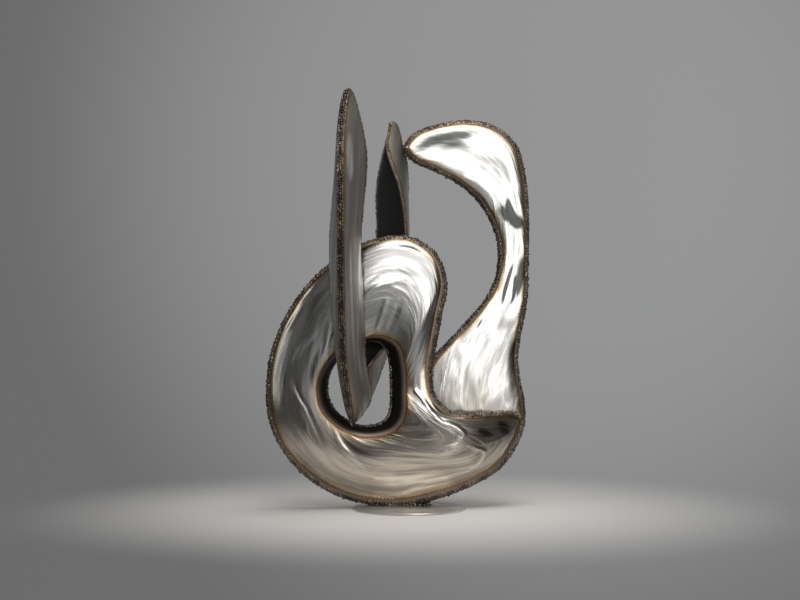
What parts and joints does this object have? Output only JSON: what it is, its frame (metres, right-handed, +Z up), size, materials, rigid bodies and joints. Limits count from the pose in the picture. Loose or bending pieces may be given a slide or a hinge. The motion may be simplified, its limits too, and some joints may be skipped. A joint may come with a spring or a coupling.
{
  "type": "abstract metal sculpture",
  "caption": "Standing abstract sculpture of welded brushed steel: a pierced kidney-shaped form, a tall hooked band and pointed horns on a round base plate.",
  "frame": {"origin": "centre of the round base plate's underside, on the surface the sculpture stands on", "axes": "+Z up, -Y towards the viewer of the front, +X to that viewer's right"},
  "size_m": [0.3918, 0.2106, 0.602],
  "materials": {
    "sheet_steel": "hand-brushed in soft swirls, straw and purple heat tint beside the welds, edges scorched dark",
    "weld_bead": "rough dark weld beads left as laid",
    "base_steel": "plain satin plate, slightly warm grey"
  },
  "bodies": {
    "root": {"base_disc": "base_steel", "pierced_body": "sheet_steel", "hook_band": "sheet_steel", "front_horn": "sheet_steel", "rear_horn": "sheet_steel"}
  },
  "joints": []
}
